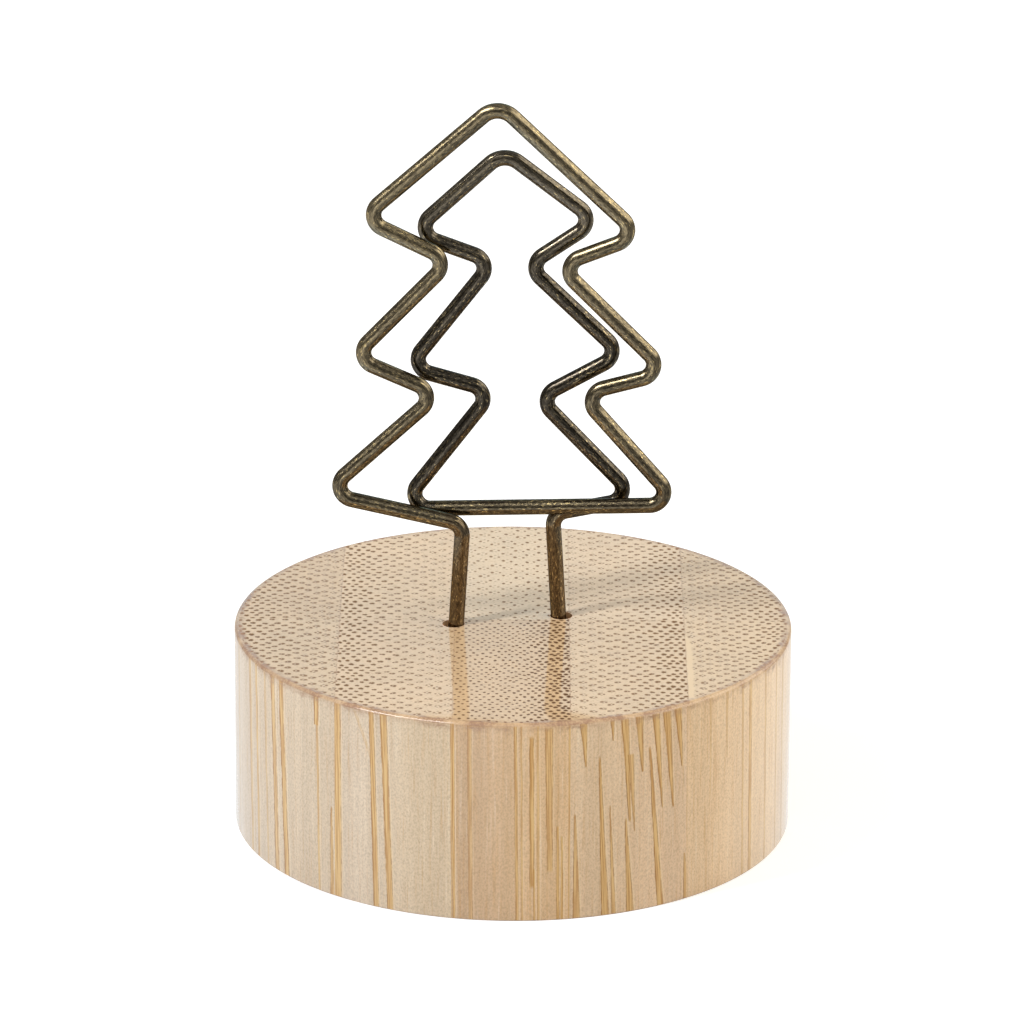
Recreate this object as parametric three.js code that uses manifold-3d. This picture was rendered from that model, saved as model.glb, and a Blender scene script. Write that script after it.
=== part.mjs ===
// Tree note clip: a round block of laminated bamboo that carries one length of bent wire.
// The wire is wound twice round a fir tree, and a note is held between the front and the back loop.
// Millimetres, +Z up. The origin is the centre of the block's underside and the tree faces -Y.
import * as THREE from "three";
import { mergeVertices } from "three/addons/utils/BufferGeometryUtils.js";
import Module from "manifold-3d";

const wasm = await Module();
wasm.setup();

// Block
const blockDiameter = 50;
const blockHeight = 18.5;
const rimRound = 0.4; // sanded edge round the top
const footRound = 0.4; // sanded edge round the underside
const stripThickness = 10.3; // one bamboo strip, from side to side
const stripShift = -0.1; // of the middle of the boards from the middle of the block
const boardJoint = 0.4; // y of the joint between the front and the back board
const glueLine = 0.1; // between neighbouring strips

// Wire
const wireDiameter = 1.4;
const bendRadius = 1.35; // of the wire's centre line
const topRadius = 1.9; // of the bend at the top of each tree
const loopGap = 0.5; // between the loops at their left tips
const loopFlare = 0.25; // how much farther out each loop stands at its right tip
const twistRoom = 0.2; // between the wire of a loop and the wire it twists on
const twistOffset = 0.5; // from the end of a bend to where the wire twists

// Legs, glued into drilled holes
const legDepth = 8.5; // of a leg in its hole
const footRoom = 1.5; // between the foot of a leg and the bottom of its hole
const holeClearance = 0.6; // on the wire's diameter
const legFit = 0.05; // between a leaning leg and the wall of its hole
const glueHeight = 5; // from the bottom of the hole
const glueFit = 0.08; // round the glue, and between the glue and the wire

// Bends in the order the wire is bent, as [x, height above the block]
const leftLegTop = [-4.53, 9.52];
const frontTree = [
  [-16.93, 12.31], // lower tier, left
  [-6.71, 21.8],
  [-14.3, 25.14], // middle tier, left
  [-5.69, 34.21],
  [-13.49, 38.04], // upper tier, left
  [-1.54, 48.67], // top
  [10.97, 36.67], // upper tier, right
  [3.8, 33.83],
  [13.55, 23.97], // middle tier, right
  [5.85, 21.87],
  [14.83, 11.49], // lower tier, right
];
const backTree = [
  [-10.29, 10.21], // lower tier, left
  [-1.88, 21.39],
  [-9.46, 23.58], // middle tier, left
  [-1.9, 33.45],
  [-9.09, 36.15], // upper tier, left
  [-1.04, 43.63], // top
  [7.16, 37.26], // upper tier, right
  [1.08, 33.1],
  [9.54, 24.86], // middle tier, right
  [2.12, 20.73],
  [11.01, 11.25], // lower tier, right
];
const rightLegTop = [3.5, 9.78];

// Facets
const blockSides = 96;
const edgeSteps = 2; // on each sanded edge
const holeSides = 24;
const wireSides = 12;
const bendStep = Math.PI / 12;

// Looks
const bambooTints = [0xe0c7a2, 0xdabd95, 0xd6b68a, 0xdcc19b];
const wireLook = { color: 0x6a5530, roughness: 0.42, metalness: 1 };
const glueLook = { color: 0xc79b55, roughness: 0.35, metalness: 0 };

const blockRadius = blockDiameter / 2;
const wireRadius = wireDiameter / 2;
const holeRadius = (wireDiameter + holeClearance) / 2;
const holeBottom = blockHeight - legDepth - footRoom;
const overcut = 1; // of a saw or drill past the block's faces

const clip = new THREE.Group();
const block = new THREE.Group();
const wire = new THREE.Group();
clip.add(block, wire);

function addPiece(parent, name, geometry, look) {
  const piece = new THREE.Mesh(geometry, new THREE.MeshStandardMaterial(look));
  piece.name = name;
  parent.add(piece);
}

// Solids for cutting
function toSolid(geometry) {
  const plain = geometry.clone();
  plain.deleteAttribute("normal");
  plain.deleteAttribute("uv");
  const welded = mergeVertices(plain, 1e-4);
  const mesh = new wasm.Mesh({
    numProp: 3,
    vertProperties: new Float32Array(welded.attributes.position.array),
    triVerts: new Uint32Array(welded.index.array),
  });
  return new wasm.Manifold(mesh);
}

function toGeometry(solid) {
  const mesh = solid.getMesh();
  const geometry = new THREE.BufferGeometry();
  geometry.setAttribute("position", new THREE.BufferAttribute(mesh.vertProperties, 3));
  geometry.setIndex(new THREE.BufferAttribute(mesh.triVerts, 1));
  geometry.computeVertexNormals();
  return geometry;
}

// Straight length that a bend takes up on each side of its corner
function bendLength(before, corner, after) {
  const entering = new THREE.Vector3().subVectors(corner.at, before.at);
  const leaving = new THREE.Vector3().subVectors(after.at, corner.at);
  return corner.radius * Math.tan(entering.angleTo(leaving) / 2);
}

// Centre line of a bent wire: straight runs, with an arc at every corner between its ends
class BentLine extends THREE.Curve {
  constructor(corners) {
    super();
    this.stations = [];
    const last = corners.length - 1;
    this.addEnd(corners[0], corners[0], corners[1]);
    for (let i = 1; i < last; i += 1) {
      this.addBend(corners[i - 1], corners[i], corners[i + 1]);
    }
    this.addEnd(corners[last], corners[last - 1], corners[last]);
    this.steps = this.stations.length - 1;
  }

  addEnd(corner, from, to) {
    const run = new THREE.Vector3().subVectors(to.at, from.at).normalize();
    this.stations.push({ point: corner.at.clone(), run });
  }

  addBend(before, corner, after) {
    const entering = new THREE.Vector3().subVectors(corner.at, before.at).normalize();
    const leaving = new THREE.Vector3().subVectors(after.at, corner.at).normalize();
    const turn = entering.angleTo(leaving);
    const axis = new THREE.Vector3().crossVectors(entering, leaving).normalize();
    const inward = new THREE.Vector3().crossVectors(axis, entering);
    const start = corner.at.clone().addScaledVector(entering, -bendLength(before, corner, after));
    const centre = start.clone().addScaledVector(inward, corner.radius);
    const arm = new THREE.Vector3().subVectors(start, centre);
    const parts = Math.ceil(turn / bendStep);
    for (let k = 0; k <= parts; k += 1) {
      const angle = (turn * k) / parts;
      const point = arm.clone().applyAxisAngle(axis, angle).add(centre);
      const run = entering.clone().applyAxisAngle(axis, angle);
      this.stations.push({ point, run });
    }
  }

  getUtoTmapping(u) {
    return u;
  }

  getPoint(t, target = new THREE.Vector3()) {
    return target.copy(this.stations[Math.round(t * this.steps)].point);
  }

  getTangent(t, target = new THREE.Vector3()) {
    return target.copy(this.stations[Math.round(t * this.steps)].run);
  }
}

function bendWire(corners, radius = wireRadius) {
  const line = new BentLine(corners);
  const section = new THREE.Shape().absarc(0, 0, radius, 0, 2 * Math.PI);
  const sweep = { extrudePath: line, steps: line.steps, curveSegments: wireSides / 2 };
  return new THREE.ExtrudeGeometry(section, sweep);
}

// End of a wire, on the run between two corners
function endAlong(from, to, distance) {
  const run = new THREE.Vector3().subVectors(to.at, from.at).normalize();
  return { at: from.at.clone().addScaledVector(run, distance), radius: 0 };
}

// Both loops stand upright, in planes that part slightly towards the right
function placeBend([x, height], tree, side, radius = bendRadius) {
  const left = tree[0][0];
  const right = tree[tree.length - 1][0];
  const depth = (wireDiameter + loopGap) / 2 + (loopFlare * (x - left)) / (right - left);
  return { at: new THREE.Vector3(x, boardJoint + side * depth, blockHeight + height), radius };
}

function placeTree(tree, side) {
  const top = (tree.length - 1) / 2;
  return tree.map((bend, i) => placeBend(bend, tree, side, i === top ? topRadius : bendRadius));
}

const front = placeTree(frontTree, -1);
const back = placeTree(backTree, 1);
const frontLeft = front[0];
const frontRight = front[front.length - 1];
const backLeft = back[0];
const backRight = back[back.length - 1];

// A leg leans in its hole: it crosses the middle of the hole halfway down, and meets the wall at both ends
const legLean = (holeClearance - 2 * legFit) / legDepth;

function placeFoot(top, height, side) {
  const foot = top.at.clone();
  foot.x += side * legLean * (height + legDepth);
  foot.z = blockHeight - legDepth;
  return { at: foot, radius: 0 };
}

const leftTop = placeBend(leftLegTop, frontTree, -1);
const rightTop = placeBend(rightLegTop, backTree, 1);
const leftFoot = placeFoot(leftTop, leftLegTop[1], -1);
const rightFoot = placeFoot(rightTop, rightLegTop[1], 1);

// Where the wire twists when a loop tips: beside each leg, and at both ends of the crossbar
const leftTwist = bendLength(leftFoot, leftTop, frontLeft) + twistOffset;
const rightTwist = bendLength(backRight, rightTop, rightFoot) + twistOffset;
const barRightTwist = bendLength(front[front.length - 2], frontRight, backLeft) + twistOffset;
const barLeftTwist = bendLength(frontRight, backLeft, back[1]) + twistOffset;
const halfRoom = twistRoom / 2;

const leftLegLine = [leftFoot, leftTop, endAlong(leftTop, frontLeft, leftTwist - halfRoom)];
const frontLine = [
  endAlong(leftTop, frontLeft, leftTwist + halfRoom),
  ...front,
  endAlong(frontRight, backLeft, barRightTwist - halfRoom),
];
const barLine = [
  endAlong(frontRight, backLeft, barRightTwist + halfRoom),
  endAlong(backLeft, frontRight, barLeftTwist + halfRoom),
];
const backLine = [
  endAlong(backLeft, frontRight, barLeftTwist - halfRoom),
  ...back,
  endAlong(rightTop, backRight, rightTwist + halfRoom),
];
const rightLegLine = [endAlong(rightTop, backRight, rightTwist - halfRoom), rightTop, rightFoot];

addPiece(wire, "left_leg", bendWire(leftLegLine), wireLook);
addPiece(wire, "front_loop", bendWire(frontLine), wireLook);
addPiece(wire, "crossbar", bendWire(barLine), wireLook);
addPiece(wire, "back_loop", bendWire(backLine), wireLook);
addPiece(wire, "right_leg", bendWire(rightLegLine), wireLook);

// Drilled holes
const leftHoleX = leftFoot.at.x + (legLean * legDepth) / 2;
const rightHoleX = rightFoot.at.x - (legLean * legDepth) / 2;

function uprightBar(radius, bottom, top, x, y) {
  const bar = new THREE.CylinderGeometry(radius, radius, top - bottom, holeSides);
  bar.rotateX(Math.PI / 2);
  bar.translate(x, y, (bottom + top) / 2);
  return toSolid(bar);
}

const drillEnd = blockHeight + overcut;
const leftDrill = uprightBar(holeRadius, holeBottom, drillEnd, leftHoleX, leftFoot.at.y);
const rightDrill = uprightBar(holeRadius, holeBottom, drillEnd, rightHoleX, rightFoot.at.y);
const drills = leftDrill.add(rightDrill);

// Glue round the foot of each leg
function setGlue(foot, top, holeX) {
  const bottom = holeBottom + glueFit;
  const filling = uprightBar(holeRadius - glueFit, bottom, holeBottom + glueHeight, holeX, foot.at.y);
  const socket = bendWire([endAlong(foot, top, -glueFit), top], wireRadius + glueFit);
  return toGeometry(filling.subtract(toSolid(socket)));
}

addPiece(wire, "left_glue", setGlue(leftFoot, leftTop, leftHoleX), glueLook);
addPiece(wire, "right_glue", setGlue(rightFoot, rightTop, rightHoleX), glueLook);

// Block: two boards of upright bamboo strips, turned round after gluing
const outline = new THREE.Path();
outline.moveTo(0, 0);
outline.lineTo(blockRadius - footRound, 0);
outline.absarc(blockRadius - footRound, footRound, footRound, -Math.PI / 2, 0);
outline.lineTo(blockRadius, blockHeight - rimRound);
outline.absarc(blockRadius - rimRound, blockHeight - rimRound, rimRound, 0, Math.PI / 2);
outline.lineTo(0, blockHeight);
const turned = new THREE.LatheGeometry(outline.getPoints(edgeSteps), blockSides);
turned.rotateX(Math.PI / 2);
const blank = toSolid(turned);

function cutStrip(middle, side) {
  const sawn = new THREE.BoxGeometry(stripThickness - glueLine, blockDiameter, blockHeight + 2 * overcut);
  const depth = boardJoint + (side * (blockDiameter + glueLine)) / 2;
  sawn.translate(middle, depth, blockHeight / 2);
  return toGeometry(blank.intersect(toSolid(sawn)).subtract(drills));
}

const stripsPerBoard = Math.ceil((blockDiameter + 2 * Math.abs(stripShift)) / stripThickness);
for (let i = 0; i < stripsPerBoard; i += 1) {
  const middle = stripShift + (i - (stripsPerBoard - 1) / 2) * stripThickness;
  const frontLook = { color: bambooTints[i % bambooTints.length], roughness: 0.55, metalness: 0 };
  const backLook = { color: bambooTints[(i + 2) % bambooTints.length], roughness: 0.55, metalness: 0 };
  addPiece(block, `front_strip_${i + 1}`, cutStrip(middle, -1), frontLook);
  addPiece(block, `back_strip_${i + 1}`, cutStrip(middle, 1), backLook);
}

export default clip;
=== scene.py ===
import math
import random

import bmesh
import bpy
from mathutils import Matrix, Quaternion, Vector


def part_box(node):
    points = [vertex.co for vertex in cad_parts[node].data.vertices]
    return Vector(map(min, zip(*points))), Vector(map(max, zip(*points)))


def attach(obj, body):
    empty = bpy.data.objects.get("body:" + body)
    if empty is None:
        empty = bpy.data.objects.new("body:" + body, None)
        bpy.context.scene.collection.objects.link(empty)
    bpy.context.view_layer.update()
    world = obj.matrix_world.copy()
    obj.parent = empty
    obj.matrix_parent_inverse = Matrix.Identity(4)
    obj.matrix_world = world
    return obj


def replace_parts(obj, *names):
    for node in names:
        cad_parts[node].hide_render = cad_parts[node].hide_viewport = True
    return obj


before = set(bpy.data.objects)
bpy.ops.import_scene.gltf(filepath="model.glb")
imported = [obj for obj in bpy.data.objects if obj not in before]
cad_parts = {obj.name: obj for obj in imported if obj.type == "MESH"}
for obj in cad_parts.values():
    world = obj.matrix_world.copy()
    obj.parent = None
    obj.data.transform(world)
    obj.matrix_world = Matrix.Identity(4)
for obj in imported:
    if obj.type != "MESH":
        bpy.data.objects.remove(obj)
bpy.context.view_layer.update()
mm = 0.001
scene = bpy.context.scene
scene.view_settings.view_transform = "Standard"


# short ways to write a node tree
class Sheet:
    def __init__(self, tree):
        self.tree = tree

    def feed(self, socket, value):
        if isinstance(value, bpy.types.NodeSocket):
            self.tree.links.new(value, socket)
        else:
            socket.default_value = value

    def add(self, kind, settings=None, inputs=None):
        node = self.tree.nodes.new("ShaderNode" + kind)
        for key, value in (settings or {}).items():
            setattr(node, key, value)
        for key, value in (inputs or {}).items():
            self.feed(node.inputs[key], value)
        return node

    def math(self, operation, *values):
        return self.add("Math", {"operation": operation}, dict(enumerate(values))).outputs[0]

    def times(self, first, second):
        return self.math("MULTIPLY", first, second)

    def limit(self, value):                      # held between 0 and 1
        return self.math("MAXIMUM", self.math("MINIMUM", value, 1.0), 0.0)

    def nudge(self, value, noise, amount):       # moved either way by a noise that lies round one half
        return self.math("MULTIPLY_ADD", self.math("SUBTRACT", noise, 0.5), amount, value)

    def vector(self, operation, *values):
        node = self.add("VectorMath", {"operation": operation})
        sockets = [socket for socket in node.inputs if socket.enabled]
        for socket, value in zip(sockets, values):
            self.feed(socket, value)
        return next(socket for socket in node.outputs if socket.enabled)

    def combine(self, x=0.0, y=0.0, z=0.0):
        return self.add("CombineXYZ", None, {"X": x, "Y": y, "Z": z}).outputs[0]

    def separate(self, vector):
        return self.add("SeparateXYZ", None, {"Vector": vector}).outputs

    def blend(self, low, high, share):           # a number between two numbers
        return self.math("MULTIPLY_ADD", self.math("SUBTRACT", high, low), share, low)

    def ramp(self, value, start, end, low=0.0, high=1.0):   # a soft step from start to end
        inputs = {"Value": value, "From Min": start, "From Max": end, "To Min": low, "To Max": high}
        return self.add("MapRange", {"interpolation_type": "SMOOTHSTEP"}, inputs).outputs[0]

    def mix(self, share, first, second, blendType="MIX"):   # a colour between two colours
        node = self.add("Mix", {"data_type": "RGBA", "blend_type": blendType, "clamp_factor": True})
        for index, value in ((0, share), (6, first), (7, second)):
            self.feed(node.inputs[index], value)
        return node.outputs[2]

    def tint(self, share, colour, shade):        # a colour, times a shade where share is 1
        return self.mix(share, colour, self.mix(1.0, colour, shade, "MULTIPLY"))

    def noise(self, place, scale, detail=2.0, size="3D"):
        inputs = {"Vector": place, "Scale": scale, "Detail": detail}
        return self.add("TexNoise", {"noise_dimensions": size}, inputs)

    def chance(self, size, place):               # one random value and colour for each cell
        return self.add("TexWhiteNoise", {"noise_dimensions": size}, {"Vector": place}).outputs

    def use(self, group, inputs):                # a node group with its own values
        node = self.tree.nodes.new("ShaderNodeGroup")
        node.node_tree = group
        for key, value in inputs.items():
            self.feed(node.inputs[key], value)
        return node.outputs


def newGroup(name, inputs, outputs):
    group = bpy.data.node_groups.new(name, "ShaderNodeTree")
    for socketName, start in inputs.items():
        kind = "NodeSocketVector" if start is None else "NodeSocketFloat"
        socket = group.interface.new_socket(name=socketName, in_out="INPUT", socket_type=kind)
        if start is not None:
            socket.default_value = start
    for socketName in outputs:
        group.interface.new_socket(name=socketName, in_out="OUTPUT", socket_type="NodeSocketFloat")
    sheet = Sheet(group)
    given = group.nodes.new("NodeGroupInput").outputs
    wanted = group.nodes.new("NodeGroupOutput").inputs
    return group, sheet, given, wanted


def newMaterial(name):
    material = bpy.data.materials.new(name)
    material.use_nodes = True
    sheet = Sheet(material.node_tree)
    return material, sheet, material.node_tree.nodes["Principled BSDF"]


def inMillimetres(sheet):                        # object coordinates, as millimetres
    place = sheet.add("TexCoord").outputs["Object"]
    return sheet.vector("SCALE", place, 1 / mm)


# fibre bundles of bamboo cut across: two dark lobes and two paler petals round a pale middle
endGrainSet = {
    "swayScale": 0.2, "sway": (0.6, 1.3, 0), "seedShift": 3.7,           # how the rows of bundles wander, mm
    "rowChance": 0.2, "acrossChance": 0.16, "alongChance": 0.3, "turnChance": 0.7, "sizeChance": 0.22,
    "shrinkOver": 0.5,                           # share of the strip over which the lobes get smaller
    "lobeStretch": 1.25, "petalReach": 0.9, "petalSize": 0.85,
    "softEdge": (1.3, 0.5), "middleLeast": 0.06, "middleCore": 0.05,
}


def makeEndGrain():
    inputs = {
        "Place": None,          # across from the crowded edge and along the strip, mm
        "Thickness": 10.3, "Near Pitch": 0.34, "Far Pitch": 1.0, "Row": 1.5,
        "Near Lobe": 0.178, "Far Lobe": 0.14, "Near Spread": 0.02, "Far Spread": 0.28,
        "Uneven": 0.15, "Seed": 1.0,
    }
    outputs = ["Lobes", "Petals", "Middle", "Openness"]
    group, s, given, wanted = newGroup("bambooEndGrain", inputs, outputs)
    shift = s.combine(given["Seed"], s.times(given["Seed"], endGrainSet["seedShift"]))
    sway = s.noise(s.vector("ADD", given["Place"], shift), endGrainSet["swayScale"], 2.0, "2D")
    sway = s.vector("SUBTRACT", sway.outputs["Color"], (0.5, 0.5, 0.5))
    sway = s.vector("MULTIPLY", sway, endGrainSet["sway"])
    across, along, _ = s.separate(s.vector("ADD", given["Place"], sway))
    across = s.math("MAXIMUM", across, 0.0)
    growth = s.math("DIVIDE", given["Far Pitch"], given["Near Pitch"])
    growth = s.math("DIVIDE", s.math("SUBTRACT", growth, 1.0), given["Thickness"])
    rate = s.times(growth, given["Near Pitch"])
    count = s.math("LOGARITHM", s.math("MULTIPLY_ADD", growth, across, 1.0), math.e)
    ownColumn = s.math("FLOOR", s.math("DIVIDE", count, rate))
    found = []
    for step in (0, -1, 1):                      # its own column of bundles and the two beside it
        column = s.math("ADD", ownColumn, step)
        centre = s.math("POWER", math.e, s.times(s.math("ADD", column, 0.5), rate))
        centre = s.math("DIVIDE", s.math("SUBTRACT", centre, 1.0), growth)
        openness = s.limit(s.math("DIVIDE", centre, given["Thickness"]))
        columnChance = s.chance("2D", s.combine(column, given["Seed"]))["Value"]
        rows = s.math("MULTIPLY_ADD", column, 0.5, s.math("DIVIDE", along, given["Row"]))
        rows = s.math("MULTIPLY_ADD", columnChance, endGrainSet["rowChance"], rows)
        row = s.math("FLOOR", rows)
        chance = s.chance("3D", s.combine(column, row, given["Seed"]))["Color"]
        chanceX, chanceY, chanceZ = s.separate(s.vector("SUBTRACT", chance, (0.5, 0.5, 0.5)))
        alongCell = s.math("SUBTRACT", s.math("SUBTRACT", rows, row), 0.5)
        alongCell = s.times(alongCell, given["Row"])
        acrossCell = s.math("SUBTRACT", across, centre)
        local = s.combine(
            s.math("MULTIPLY_ADD", chanceX, endGrainSet["acrossChance"], acrossCell),
            s.math("MULTIPLY_ADD", chanceY, endGrainSet["alongChance"], alongCell),
        )
        turn = {"Vector": local, "Angle": s.times(chanceZ, endGrainSet["turnChance"])}
        turned = s.add("VectorRotate", {"rotation_type": "Z_AXIS"}, turn).outputs[0]
        x, y, _ = s.separate(turned)
        shrunk = s.ramp(openness, 0.0, endGrainSet["shrinkOver"])
        lobe = s.blend(given["Near Lobe"], given["Far Lobe"], shrunk)
        lobe = s.times(lobe, s.math("MULTIPLY_ADD", chanceX, endGrainSet["sizeChance"], 1.0))
        spread = s.blend(given["Near Spread"], given["Far Spread"], openness)
        bigger = s.math("MULTIPLY_ADD", s.math("SIGN", x), given["Uneven"], 1.0)
        lobeWidth = s.times(lobe, bigger)
        lobePlace = s.vector("LENGTH", s.combine(
            s.math("DIVIDE", s.math("SUBTRACT", s.math("ABSOLUTE", x), spread), lobeWidth),
            s.math("DIVIDE", y, s.times(lobeWidth, endGrainSet["lobeStretch"])),
        ))
        petalSpread = s.times(spread, endGrainSet["petalReach"])
        petalSize = s.times(lobe, endGrainSet["petalSize"])
        petalPlace = s.vector("LENGTH", s.combine(
            s.math("DIVIDE", x, petalSize),
            s.math("DIVIDE", s.math("SUBTRACT", s.math("ABSOLUTE", y), petalSpread), petalSize),
        ))
        middleEdge = s.math("MAXIMUM", spread, endGrainSet["middleLeast"])
        found.append({
            "Lobes": s.ramp(lobePlace, *endGrainSet["softEdge"]),
            "Petals": s.ramp(petalPlace, *endGrainSet["softEdge"]),
            "Middle": s.ramp(s.vector("LENGTH", turned), middleEdge, endGrainSet["middleCore"]),
            "Openness": openness,
        })
    own, before, after = found
    for name in ("Lobes", "Petals"):             # a bundle may reach over the border of its column
        beside = s.math("MAXIMUM", before[name], after[name])
        s.feed(wanted[name], s.math("MAXIMUM", own[name], beside))
    for name in ("Middle", "Openness"):
        s.feed(wanted[name], own[name])
    return group


# bamboo cut along: fine upright fibres, broad bands, pores and a felted ground; marks per mm and detail
longGrainSet = {
    "Fibre": ((5.5, 5.5, 0.16), 3.0), "Band": ((0.55, 0.55, 0.02), 2.0),
    "Pores": ((7.0, 7.0, 4.2), 2.0), "Felt": ((6.5, 6.5, 4.8), 3.0),
}


def makeLongGrain():
    inputs = {"Place": None, "Seed": 1.0}
    group, s, given, wanted = newGroup("bambooLongGrain", inputs, list(longGrainSet))
    place = s.vector("ADD", given["Place"], s.combine(given["Seed"], given["Seed"], given["Seed"]))
    for name, (marks, detail) in longGrainSet.items():
        grain = s.noise(s.vector("MULTIPLY", place, marks), 1.0, detail)
        s.feed(wanted[name], grain.outputs["Fac"])
    return group


# a bundle opened lengthwise by the lathe: a straight or tapering streak on the side
streakSet = {
    "leanFrom": 18.5,                            # height at which a streak is where it says, mm
    "waver": 0.08, "rough": 0.03, "leastHalf": 0.02, "tornHalf": 0.075, "widenBy": 0.35, "widenFrom": 1.05,
    "roughMarks": (2.5, 2.5, 2.2), "waverMarks": 0.35, "brokenMarks": 0.8, "brokenSeed": 40.0,
    "nearEdge": 0.85, "farEdge": 0.9, "threadMarks": (9.0, 0.15), "threadLean": 0.06,
}


def makeStreak():
    inputs = {
        "Place": None, "At": 0.0, "Lean": 0.0, "Top": 19.0, "Bottom": -1.0,
        "Top Width": 0.3, "Bottom Width": 0.3, "Seed": 1.0,
    }
    group, s, given, wanted = newGroup("bambooStreak", inputs, ["Streak", "Edge", "Glint", "Pale"])
    x, _, z = s.separate(given["Place"])
    rough = s.noise(s.vector("MULTIPLY", given["Place"], streakSet["roughMarks"]), 1.0, 2.0)
    waver = s.combine(s.times(z, streakSet["waverMarks"]), given["Seed"])
    waver = s.noise(waver, 1.0, 2.0, "2D").outputs["Fac"]
    brokenSeed = s.math("ADD", given["Seed"], streakSet["brokenSeed"])
    broken = s.combine(s.times(z, streakSet["brokenMarks"]), brokenSeed)
    broken = s.noise(broken, 1.0, 2.0, "2D").outputs["Fac"]
    down = s.math("SUBTRACT", streakSet["leanFrom"], z)
    line = s.math("MULTIPLY_ADD", given["Lean"], down, given["At"])
    line = s.nudge(line, waver, streakSet["waver"])
    line = s.nudge(line, rough.outputs["Fac"], streakSet["rough"])
    length = s.math("SUBTRACT", given["Top"], given["Bottom"])
    share = s.math("DIVIDE", s.math("SUBTRACT", z, given["Bottom"]), length)
    within = s.times(s.ramp(share, -0.002, 0.03), s.ramp(share, 1.002, 0.97))
    width = s.blend(given["Bottom Width"], given["Top Width"], s.limit(share))
    width = s.times(width, s.math("MULTIPLY_ADD", broken, streakSet["widenBy"], streakSet["widenFrom"]))
    half = s.math("MAXIMUM", s.times(width, 0.5), streakSet["leastHalf"])
    aside = s.math("SUBTRACT", x, line)
    place = s.math("DIVIDE", aside, half)        # -1 and 1 are the two edges of the streak
    thin = s.math("DIVIDE", streakSet["tornHalf"], half)
    nearPlace = s.math("DIVIDE", s.math("ABSOLUTE", s.math("ADD", place, streakSet["nearEdge"])), thin)
    farPlace = s.math("DIVIDE", s.math("ABSOLUTE", s.math("SUBTRACT", place, streakSet["farEdge"])), thin)
    glintPlace = s.math("SUBTRACT", s.math("SUBTRACT", place, 1.0), thin)
    glintPlace = s.math("DIVIDE", s.math("ABSOLUTE", glintPlace), thin)
    nearEdge = s.times(s.ramp(nearPlace, 1.0, 0.2), s.ramp(broken, 0.3, 0.6, 0.35, 1.0))
    farEdge = s.times(s.ramp(farPlace, 1.0, 0.2), s.ramp(broken, 0.6, 0.4, 0.0, 0.7))
    soft = s.times(s.ramp(place, -1.15, -0.8), s.ramp(place, 1.35, 0.55))
    acrossMarks, alongMarks = streakSet["threadMarks"]
    threads = s.combine(s.times(aside, acrossMarks), s.math("MULTIPLY_ADD", z, alongMarks, given["Seed"]))
    threads = s.noise(threads, 1.0, 1.0, "2D").outputs["Fac"]
    threads = s.math("MULTIPLY_ADD", place, streakSet["threadLean"], threads)
    s.feed(wanted["Streak"], s.times(within, soft))
    s.feed(wanted["Edge"], s.times(within, s.math("MAXIMUM", nearEdge, farEdge)))
    s.feed(wanted["Glint"], s.times(within, s.ramp(glintPlace, 1.0, 0.2)))
    s.feed(wanted["Pale"], s.ramp(threads, 0.36, 0.64))
    return group


endGrain = makeEndGrain()
longGrain = makeLongGrain()
streakGroup = makeStreak()

# the block, laid out from the parts of model.glb
stripNames = [f"{board}_strip_{i}" for board in ("front", "back") for i in range(1, 6)]
blockLow = Vector(map(min, *[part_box(n)[0] for n in stripNames]))
blockHigh = Vector(map(max, *[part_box(n)[1] for n in stripNames]))
blockSet = {
    "radius": (blockHigh.x - blockLow.x) / 2,
    "height": blockHigh.z,
    "sides": 240,
    "rimRound": 0.4 * mm,
    "footRound": 0.15 * mm,
    "edgeSteps": 4,
    "drillWidth": 2.0 * mm,
    "drillSides": 40,
    "drillFloor": 8.5 * mm,
    "drillProud": 1 * mm,                        # how far the cutter stands out of the block
    "drillMargin": 2 * mm,                       # strips this close to a hole are drilled
    "sharpAngle": math.radians(35),
    "flatNormal": 0.9999,
    "closeTo": 0.01 * mm,
    "sawClose": 1e-8,
}
seams = [(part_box(f"front_strip_{i}")[1].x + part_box(f"front_strip_{i + 1}")[0].x) / 2 for i in range(1, 5)]
boardSeam = (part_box("front_strip_3")[1].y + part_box("back_strip_3")[0].y) / 2
stripThickness = seams[1] - seams[0]
stripEdges = [seams[0] - stripThickness, *seams, seams[3] + stripThickness]
drillPlaces = [(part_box(g)[0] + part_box(g)[1]) / 2 for g in ("left_glue", "right_glue")]


def vertsOf(geometry):
    return [part for part in geometry if isinstance(part, bmesh.types.BMVert)]


def turnBlank():                                 # the whole block before it is divided
    bm = bmesh.new()
    bmesh.ops.create_circle(bm, cap_ends=True, segments=blockSet["sides"], radius=blockSet["radius"])
    raised = bmesh.ops.extrude_face_region(bm, geom=bm.faces[:])["geom"]
    bmesh.ops.translate(bm, verts=vertsOf(raised), vec=(0, 0, blockSet["height"]))
    for height, rounding in ((blockSet["height"], blockSet["rimRound"]), (0.0, blockSet["footRound"])):
        rim = [e for e in bm.edges if all(abs(v.co.z - height) < blockSet["closeTo"] for v in e.verts)]
        bmesh.ops.bevel(
            bm, geom=rim, offset=rounding, offset_type="OFFSET", segments=blockSet["edgeSteps"],
            profile=0.5, affect="EDGES", material=-1,
        )
    bmesh.ops.recalc_face_normals(bm, faces=bm.faces[:])
    return bm


def sawOff(bm, place, outward):                  # keeps the side that outward points away from
    geometry = bm.verts[:] + bm.edges[:] + bm.faces[:]
    bmesh.ops.bisect_plane(
        bm, geom=geometry, dist=blockSet["sawClose"], plane_co=place, plane_no=outward, clear_outer=True,
    )
    bmesh.ops.holes_fill(bm, edges=[e for e in bm.edges if e.is_boundary], sides=0)


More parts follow.
